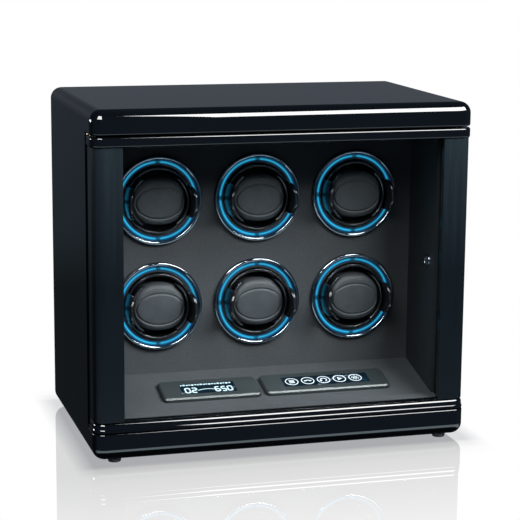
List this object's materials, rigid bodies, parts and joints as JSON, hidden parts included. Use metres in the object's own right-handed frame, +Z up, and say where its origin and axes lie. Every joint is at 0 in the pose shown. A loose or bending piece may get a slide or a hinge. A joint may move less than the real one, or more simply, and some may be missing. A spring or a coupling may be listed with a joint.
{
  "type": "watch winder box",
  "caption": "Black lacquered watch winder cabinet with a deep framed glass door, light-ringed rotating cups holding watch pillows, and a sloping touch console.",
  "frame": {"origin": "centre of the footprint, on the plane that the feet stand on", "axes": "+X to the right seen from the front, along the width; front and door face -Y; +Z up"},
  "size_m": [0.374, 0.236, 0.336],
  "materials": {
    "lacquer": "black gloss lacquer over board",
    "stile_grain": "black satin with a fine upright grain",
    "back_board": "black painted board",
    "lining": "dark grey velvet",
    "chrome": "polished",
    "light_guide": "translucent, lit cyan blue from behind",
    "housing_black": "moulded black",
    "rotor_gloss": "piano black moulding",
    "pillow_leather": "dark grey faux leather",
    "frame_gloss": "black moulding",
    "door_glass": "clear float glass",
    "console_metal": "dark grey with a bright bevel",
    "console_glass": "dark blue window",
    "steel": "plated steel",
    "brass_bush": "turned brass",
    "black_plastic": "moulded black",
    "rubber": "black rubber",
    "circuit_board": "green board",
    "motor_metal": "motor can"
  },
  "bodies": {
    "cabinet": {"top_panel": "lacquer", "base_panel": "lacquer", "left_side_panel": "lacquer", "right_side_panel": "lacquer", "back_panel": "back_board", "back_screws": "steel", "feet": "rubber", "foot_screws": "steel", "power_socket": "black_plastic", "pivot_bushes": "brass_bush", "lock_barrel": "chrome", "fascia_board": "lining", "ceiling_liner": "lining", "left_liner": "stile_grain", "right_liner": "stile_grain", "console_floor": "lining", "front_sill": "lining", "display_plate": "console_metal", "display_window": "console_glass", "touch_plate": "console_metal", "touch_window": "console_glass", "control_board": "circuit_board", "bezel_rings": "chrome", "cup_housings": "housing_black", "light_rings": "light_guide", "rotor_bearings": "brass_bush", "drive_belts": "rubber", "motor_brackets": "steel", "gear_motors": "motor_metal"},
    "door": {"door_top_rail": "lacquer", "door_bottom_rail": "lacquer", "door_left_stile": "stile_grain", "door_right_stile": "stile_grain", "door_glass": "door_glass", "glazing_beads": "lining", "pivot_pins": "steel", "door_keeper": "steel"},
    "lock": {"lock_plug": "steel", "lock_cam": "steel"},
    "cup_rotor_1": {"rotor_1": "rotor_gloss"},
    "watch_holder_1": {"pillow_1": "pillow_leather", "pillow_frame_1": "frame_gloss"},
    "cup_rotor_2": {"rotor_2": "rotor_gloss"},
    "watch_holder_2": {"pillow_2": "pillow_leather", "pillow_frame_2": "frame_gloss"},
    "cup_rotor_3": {"rotor_3": "rotor_gloss"},
    "watch_holder_3": {"pillow_3": "pillow_leather", "pillow_frame_3": "frame_gloss"},
    "cup_rotor_4": {"rotor_4": "rotor_gloss"},
    "watch_holder_4": {"pillow_4": "pillow_leather", "pillow_frame_4": "frame_gloss"},
    "cup_rotor_5": {"rotor_5": "rotor_gloss"},
    "watch_holder_5": {"pillow_5": "pillow_leather", "pillow_frame_5": "frame_gloss"},
    "cup_rotor_6": {"rotor_6": "rotor_gloss"},
    "watch_holder_6": {"pillow_6": "pillow_leather", "pillow_frame_6": "frame_gloss"},
    "motor_shaft_1": {"motor_pulley_1": "black_plastic"},
    "motor_shaft_2": {"motor_pulley_2": "black_plastic"},
    "motor_shaft_3": {"motor_pulley_3": "black_plastic"}
  },
  "joints": [
    {"name": "door_hinge", "type": "hinge", "parent": "cabinet", "child": "door", "pos_m": [-0.181, -0.092, 0.1711], "axis": [0, 0, -1], "range_deg": [0, 95]},
    {"name": "lock_turn", "type": "hinge", "parent": "cabinet", "child": "lock", "pos_m": [0.1725, -0.0668, 0.1724], "axis": [1, 0, 0], "range_deg": [0, 90]},
    {"name": "rotor_1_spin", "type": "hinge", "parent": "cabinet", "child": "cup_rotor_1", "pos_m": [-0.1018, 0, 0.2344], "axis": [0, 1, 0], "continuous": true},
    {"name": "pillow_1_slide", "type": "slide", "parent": "cup_rotor_1", "child": "watch_holder_1", "axis": [0, -1, 0], "range_m": [0, 0.055]},
    {"name": "rotor_2_spin", "type": "hinge", "parent": "cabinet", "child": "cup_rotor_2", "pos_m": [0, 0, 0.2344], "axis": [0, 1, 0], "continuous": true},
    {"name": "pillow_2_slide", "type": "slide", "parent": "cup_rotor_2", "child": "watch_holder_2", "axis": [0, -1, 0], "range_m": [0, 0.055]},
    {"name": "rotor_3_spin", "type": "hinge", "parent": "cabinet", "child": "cup_rotor_3", "pos_m": [0.1018, 0, 0.2344], "axis": [0, 1, 0], "continuous": true},
    {"name": "pillow_3_slide", "type": "slide", "parent": "cup_rotor_3", "child": "watch_holder_3", "axis": [0, -1, 0], "range_m": [0, 0.055]},
    {"name": "rotor_4_spin", "type": "hinge", "parent": "cabinet", "child": "cup_rotor_4", "pos_m": [-0.1018, 0, 0.1279], "axis": [0, 1, 0], "continuous": true},
    {"name": "pillow_4_slide", "type": "slide", "parent": "cup_rotor_4", "child": "watch_holder_4", "axis": [0, -1, 0], "range_m": [0, 0.055]},
    {"name": "rotor_5_spin", "type": "hinge", "parent": "cabinet", "child": "cup_rotor_5", "pos_m": [0, 0, 0.1279], "axis": [0, 1, 0], "continuous": true},
    {"name": "pillow_5_slide", "type": "slide", "parent": "cup_rotor_5", "child": "watch_holder_5", "axis": [0, -1, 0], "range_m": [0, 0.055]},
    {"name": "rotor_6_spin", "type": "hinge", "parent": "cabinet", "child": "cup_rotor_6", "pos_m": [0.1018, 0, 0.1279], "axis": [0, 1, 0], "continuous": true},
    {"name": "pillow_6_slide", "type": "slide", "parent": "cup_rotor_6", "child": "watch_holder_6", "axis": [0, -1, 0], "range_m": [0, 0.055]},
    {"name": "motor_1_spin", "type": "hinge", "parent": "cabinet", "child": "motor_shaft_1", "pos_m": [-0.1018, 0.06, 0.18115], "axis": [0, 1, 0], "continuous": true},
    {"name": "motor_2_spin", "type": "hinge", "parent": "cabinet", "child": "motor_shaft_2", "pos_m": [0, 0.06, 0.18115], "axis": [0, 1, 0], "continuous": true},
    {"name": "motor_3_spin", "type": "hinge", "parent": "cabinet", "child": "motor_shaft_3", "pos_m": [0.1018, 0.06, 0.18115], "axis": [0, 1, 0], "continuous": true}
  ],
  "couplings": [
    {"joint": "rotor_4_spin", "follows": "rotor_1_spin", "ratio": 1},
    {"joint": "motor_1_spin", "follows": "rotor_1_spin", "ratio": 3},
    {"joint": "rotor_5_spin", "follows": "rotor_2_spin", "ratio": 1},
    {"joint": "motor_2_spin", "follows": "rotor_2_spin", "ratio": 3},
    {"joint": "rotor_6_spin", "follows": "rotor_3_spin", "ratio": 1},
    {"joint": "motor_3_spin", "follows": "rotor_3_spin", "ratio": 3}
  ]
}
